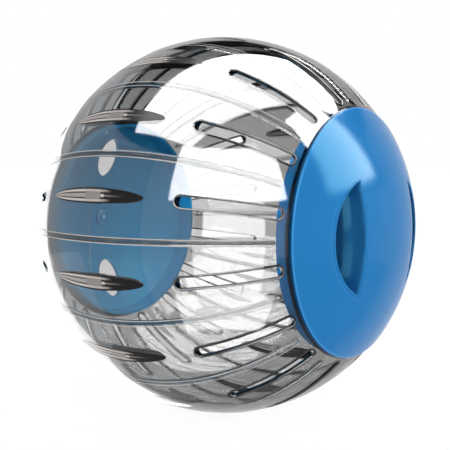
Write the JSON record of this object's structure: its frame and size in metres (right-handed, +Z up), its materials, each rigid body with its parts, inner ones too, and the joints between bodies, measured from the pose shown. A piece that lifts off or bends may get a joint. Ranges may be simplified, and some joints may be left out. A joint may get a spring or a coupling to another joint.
{
  "type": "hamster ball",
  "caption": "Clear slotted exercise ball of half shells clipped at the seam, with a push-in domed door at each end of its axis: a finger grip on one, oval vents in the other.",
  "frame": {"origin": "centre of the ball", "axes": "+X along the axis through both doors, towards the grip door; +Z up, along the grip bar"},
  "size_m": [0.1824, 0.18, 0.18],
  "materials": {
    "clear_shell": "clear, polished",
    "door_plastic": "glossy moulded blue"
  },
  "bodies": {
    "ball": {"shell_right": "clear_shell", "shell_left": "clear_shell"},
    "grip_door": {"grip_door": "door_plastic", "pocket_front": "door_plastic", "pocket_back": "door_plastic"},
    "vent_door": {"vent_door": "door_plastic"}
  },
  "joints": [
    {"name": "grip_door_pull", "type": "slide", "parent": "ball", "child": "grip_door", "axis": [1, 0, 0], "range_m": [0, 0.06]},
    {"name": "vent_door_pull", "type": "slide", "parent": "ball", "child": "vent_door", "axis": [-1, 0, 0], "range_m": [0, 0.06]}
  ]
}
